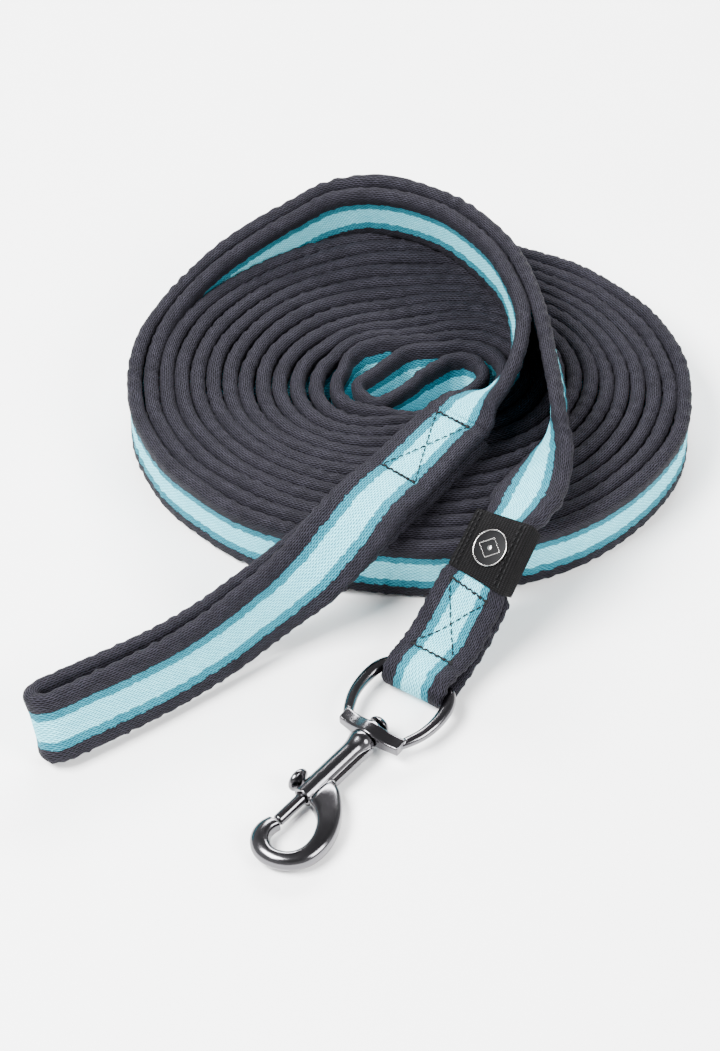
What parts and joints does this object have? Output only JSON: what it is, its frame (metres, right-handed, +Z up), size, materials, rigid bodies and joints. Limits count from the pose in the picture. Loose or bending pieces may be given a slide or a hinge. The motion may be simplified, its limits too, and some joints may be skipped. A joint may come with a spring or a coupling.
{
  "type": "training leash",
  "caption": "Soft padded webbing training leash wound in a flat coil, with a sewn hand loop, a woven label and a swivel bolt snap.",
  "frame": {"origin": "centre of the bounding box on the floor", "axes": "+Z up out of the coil; -Y towards the snap and the end of the hand loop; +X to the right, the hand loop's end lies at -X"},
  "size_m": [0.2153, 0.2734, 0.0524],
  "materials": {
    "webbing": "striped padded weave, charcoal edges, teal and pale middle",
    "thread": "black sewing thread",
    "label": "black woven ribbon",
    "emblem_black": "gloss black",
    "emblem_metal": "polished dark metal",
    "gunmetal": "polished gunmetal plating",
    "spring_steel": "bright spring wire"
  },
  "bodies": {
    "webbing": {"webbing_coil": "webbing", "webbing_lead_snap": "webbing", "webbing_lead_hand": "webbing", "hand_loop_webbing": "webbing", "snap_end_webbing": "webbing", "hand_box_stitch": "thread", "snap_box_stitch": "thread", "label_sleeve": "label", "label_seam_left_outer": "thread", "label_seam_left_inner": "thread", "label_seam_right_outer": "thread", "label_seam_right_inner": "thread", "emblem_plate": "emblem_black", "emblem_rim": "emblem_metal", "emblem_motif": "emblem_metal"},
    "eye": {"swivel_eye": "gunmetal"},
    "hook": {"hook_body": "gunmetal", "swivel_pin": "gunmetal", "bolt_spring": "spring_steel"},
    "bolt": {"latch_bolt": "gunmetal", "thumb_knob": "gunmetal"}
  },
  "joints": [
    {"name": "eye_swing", "type": "hinge", "parent": "webbing", "child": "eye", "pos_m": [0.0145, -0.0659, 0.007], "axis": [-0.809, 0.5878, 0], "range_deg": [-100, 110]},
    {"name": "hook_swivel", "type": "hinge", "parent": "eye", "child": "hook", "pos_m": [-0.001, -0.08724, 0.00589], "axis": [-0.6555, -0.754, -0.0419], "continuous": true},
    {"name": "bolt_slide", "type": "slide", "parent": "hook", "child": "bolt", "axis": [0.6555, 0.754, 0.0419], "range_m": [0, 0.008], "stiffness_N_per_m": 200, "springref_m": -0.012, "deforming": ["bolt_spring"]}
  ]
}
